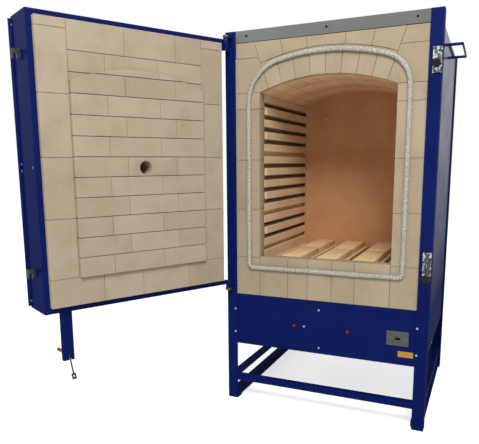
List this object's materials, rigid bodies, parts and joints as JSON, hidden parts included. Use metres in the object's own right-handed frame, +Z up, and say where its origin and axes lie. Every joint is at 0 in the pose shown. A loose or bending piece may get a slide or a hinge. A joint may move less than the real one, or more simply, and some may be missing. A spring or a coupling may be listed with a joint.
{
  "type": "ceramic kiln",
  "caption": "Front-loading electric ceramic kiln on an open steel stand, brick-lined arched chamber, hinged brick-lined door with swing-bolt latches and an interlock lever.",
  "frame": {"origin": "centre of the underside of the front left foot plate, on the floor", "axes": "+X to the kiln's right as seen from the front, +Y towards its back, +Z up"},
  "size_m": [1.5105, 1.6942, 1.716],
  "materials": {
    "blue_paint": "gloss",
    "stainless": "brushed",
    "zinc": "satin",
    "firebrick": "matte",
    "floor_slab": "matte",
    "backup_board": "matte",
    "fibre": "matte",
    "element_wire": "oxidised",
    "brass": "satin",
    "sheath": "matte",
    "dark_plastic": "matte",
    "red_plastic": "gloss",
    "red_lens": "gloss",
    "yellow_plate": "satin",
    "gear": "matte"
  },
  "bodies": {
    "kiln_body": {"front_posts": "blue_paint", "rear_posts": "blue_paint", "foot_plates": "blue_paint", "cross_rails": "blue_paint", "side_rails": "blue_paint", "floor_runners": "blue_paint", "compartment_frame": "blue_paint", "brick_frame": "blue_paint", "floor_tray": "blue_paint", "left_side_panel": "blue_paint", "right_side_panel": "blue_paint", "rear_panel": "blue_paint", "roof_panel": "blue_paint", "lower_front_panel": "blue_paint", "top_strip": "stainless", "interlock_plate": "stainless", "interlock_switch": "dark_plastic", "blank_plate": "yellow_plate", "lamp_bezels": "dark_plastic", "signal_lamps": "red_lens", "side_handle": "blue_paint", "casing_screws": "zinc", "jamb_bricks": "firebrick", "sill_bricks": "firebrick", "arch_bricks": "firebrick", "vault_bricks": "firebrick", "side_wall_bricks": "firebrick", "back_wall_bricks": "firebrick", "floor_bricks": "firebrick", "floor_slabs": "floor_slab", "backup_boards": "backup_board", "roof_blanket": "fibre", "rope_seal": "fibre", "wall_elements": "element_wire", "floor_elements": "element_wire", "element_terminals": "brass", "thermocouple": "sheath", "control_gear": "gear", "supply_gland": "dark_plastic", "hinge_lugs": "blue_paint", "pivot_pins": "zinc", "latch_plates": "zinc"},
    "door": {"door_frame": "blue_paint", "door_cover": "blue_paint", "door_insulation": "backup_board", "door_border_bricks": "firebrick", "door_field_bricks": "firebrick", "door_knuckles": "blue_paint", "door_catches": "zinc", "door_screws": "zinc", "door_leg": "blue_paint"},
    "lever": {"interlock_lever": "zinc", "lever_grip": "red_plastic"},
    "bung": {"spy_bung": "firebrick"},
    "upper_bolt": {"upper_swing_bolt": "zinc"},
    "upper_washer": {"upper_latch_washer": "zinc"},
    "upper_knob": {"upper_star_knob": "dark_plastic"},
    "lower_bolt": {"lower_swing_bolt": "zinc"},
    "lower_washer": {"lower_latch_washer": "zinc"},
    "lower_knob": {"lower_star_knob": "dark_plastic"}
  },
  "joints": [
    {"name": "door_hinge", "type": "hinge", "parent": "kiln_body", "child": "door", "pos_m": [-0.0064, -0.0547, 1.124], "axis": [0, 0, 1], "range_deg": [-33, 117.3]},
    {"name": "interlock_lever_swing", "type": "hinge", "parent": "door", "child": "lever", "pos_m": [-0.38701, -0.73478, 0.3975], "axis": [-0.4587, -0.8886, 0], "range_deg": [0, 64]},
    {"name": "spy_bung_pull", "type": "slide", "parent": "door", "child": "bung", "axis": [-0.8886, 0.4587, 0], "range_m": [0, 0.12]},
    {"name": "upper_latch_swing", "type": "hinge", "parent": "kiln_body", "child": "upper_bolt", "pos_m": [0.884, -0.047, 1.533], "axis": [-1, 0, 0], "range_deg": [-60, 22]},
    {"name": "upper_washer_slide", "type": "slide", "parent": "upper_bolt", "child": "upper_washer", "axis": [0, -0.9272, -0.3746], "range_m": [0, 0.0061]},
    {"name": "upper_knob_turn", "type": "hinge", "parent": "upper_washer", "child": "upper_knob", "pos_m": [0.884, -0.13378, 1.49794], "axis": [0, -0.9272, -0.3746], "range_deg": [0, 1440]},
    {"name": "lower_latch_swing", "type": "hinge", "parent": "kiln_body", "child": "lower_bolt", "pos_m": [0.884, -0.047, 0.728], "axis": [-1, 0, 0], "range_deg": [-60, 22]},
    {"name": "lower_washer_slide", "type": "slide", "parent": "lower_bolt", "child": "lower_washer", "axis": [0, -0.9272, -0.3746], "range_m": [0, 0.0061]},
    {"name": "lower_knob_turn", "type": "hinge", "parent": "lower_washer", "child": "lower_knob", "pos_m": [0.884, -0.13378, 0.69294], "axis": [0, -0.9272, -0.3746], "range_deg": [0, 1440]}
  ],
  "couplings": [
    {"joint": "upper_washer_slide", "follows": "upper_knob_turn", "m_per_rad": 0.00023873},
    {"joint": "lower_washer_slide", "follows": "lower_knob_turn", "m_per_rad": 0.00023873}
  ]
}
